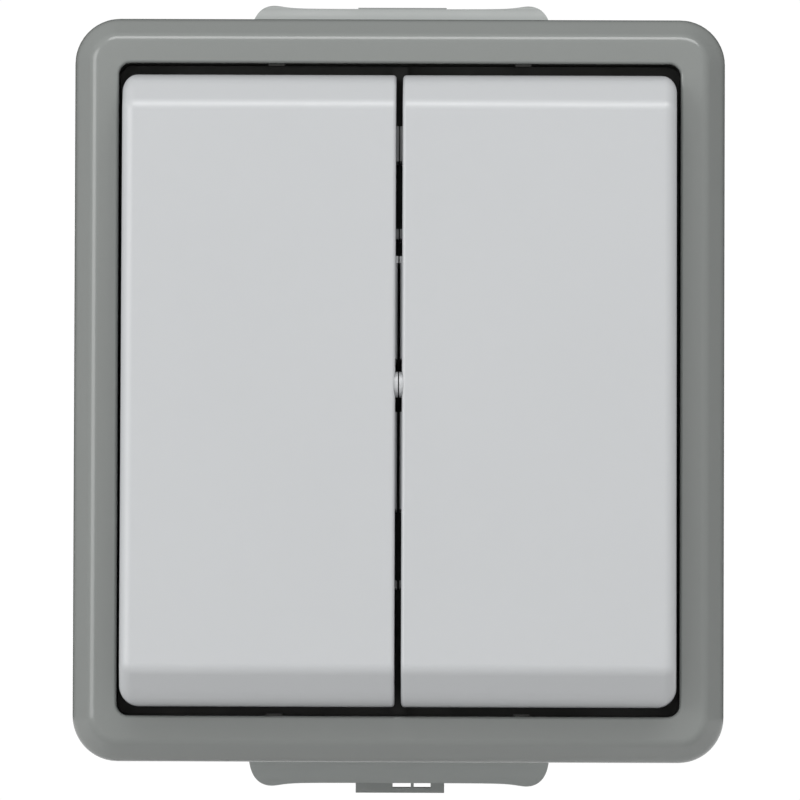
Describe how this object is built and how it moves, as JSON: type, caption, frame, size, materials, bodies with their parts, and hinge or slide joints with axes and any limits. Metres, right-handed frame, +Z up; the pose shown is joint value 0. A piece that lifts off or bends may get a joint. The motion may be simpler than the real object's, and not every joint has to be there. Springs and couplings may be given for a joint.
{
  "type": "surface-mounted light switch",
  "caption": "Deep grey surface-mounted switch box with a sloped surround frame, flared cable entries and side-by-side rockers that tip contact levers inside.",
  "frame": {"origin": "centre of the mounting face, on the wall plane", "axes": "+Y into the wall, +Z up, +X to the right seen from the front; the rockers face -Y"},
  "size_m": [0.066, 0.0537, 0.0834],
  "materials": {
    "housing_grey": "fine satin",
    "frame_grey": "smooth satin",
    "gland_grey": "smooth satin",
    "carrier_black": "matte",
    "black_rubber": "matte",
    "rocker_light_grey": "low gloss",
    "stem_white": "matte",
    "insert_cream": "moulded thermoset",
    "zinc_steel": "zinc plated",
    "contact_brass": "rolled strip",
    "contact_silver": "dull silver",
    "spring_steel": "drawn wire"
  },
  "bodies": {
    "housing": {"rear_housing": "housing_grey", "front_frame": "frame_grey", "top_cable_gland": "gland_grey", "bottom_cable_gland": "gland_grey", "bearing_frame": "carrier_black", "splash_membrane": "black_rubber", "housing_seal": "black_rubber", "insert_body": "insert_cream", "insert_cover": "insert_cream", "cover_screws": "zinc_steel", "insert_screws": "zinc_steel", "terminal_screws": "zinc_steel", "terminal_clamps": "zinc_steel", "earth_terminal_screws": "zinc_steel", "insert_rivets": "zinc_steel", "left_common_contact": "contact_brass", "right_common_contact": "contact_brass", "left_upper_contact": "contact_brass", "left_lower_contact": "contact_brass", "right_upper_contact": "contact_brass", "right_lower_contact": "contact_brass", "earth_terminal_bar": "contact_brass", "fixed_contact_tips": "contact_silver"},
    "left_rocker": {"left_rocker_cap": "rocker_light_grey", "left_actuator_stem": "stem_white", "left_plunger_spring": "spring_steel"},
    "left_plunger": {"left_plunger": "stem_white"},
    "left_lever": {"left_contact_lever": "contact_brass", "left_lever_tips": "contact_silver"},
    "right_rocker": {"right_rocker_cap": "rocker_light_grey", "right_actuator_stem": "stem_white", "right_plunger_spring": "spring_steel"},
    "right_plunger": {"right_plunger": "stem_white"},
    "right_lever": {"right_contact_lever": "contact_brass", "right_lever_tips": "contact_silver"}
  },
  "joints": [
    {"name": "left_rocker_tilt", "type": "hinge", "parent": "housing", "child": "left_rocker", "pos_m": [-0.0142, -0.046, 0.00045], "axis": [1, 0, 0], "range_deg": [0, 5]},
    {"name": "left_lever_tilt", "type": "hinge", "parent": "housing", "child": "left_lever", "pos_m": [-0.0142, -0.0163, 0.00045], "axis": [1, 0, 0], "range_deg": [-10, 0]},
    {"name": "left_plunger_slide", "type": "slide", "parent": "left_rocker", "child": "left_plunger", "axis": [0, -0.999, 0.0436], "range_m": [0, 0.0005], "stiffness_N_per_m": 300, "springref_m": -0.003, "deforming": ["left_plunger_spring"]},
    {"name": "right_rocker_tilt", "type": "hinge", "parent": "housing", "child": "right_rocker", "pos_m": [0.0142, -0.046, 0.00045], "axis": [1, 0, 0], "range_deg": [0, 5]},
    {"name": "right_lever_tilt", "type": "hinge", "parent": "housing", "child": "right_lever", "pos_m": [0.0142, -0.0163, 0.00045], "axis": [1, 0, 0], "range_deg": [-10, 0]},
    {"name": "right_plunger_slide", "type": "slide", "parent": "right_rocker", "child": "right_plunger", "axis": [0, -0.999, 0.0436], "range_m": [0, 0.0005], "stiffness_N_per_m": 300, "springref_m": -0.003, "deforming": ["right_plunger_spring"]}
  ],
  "couplings": [
    {"joint": "left_lever_tilt", "follows": "left_rocker_tilt", "ratio": -2},
    {"joint": "right_lever_tilt", "follows": "right_rocker_tilt", "ratio": -2}
  ]
}
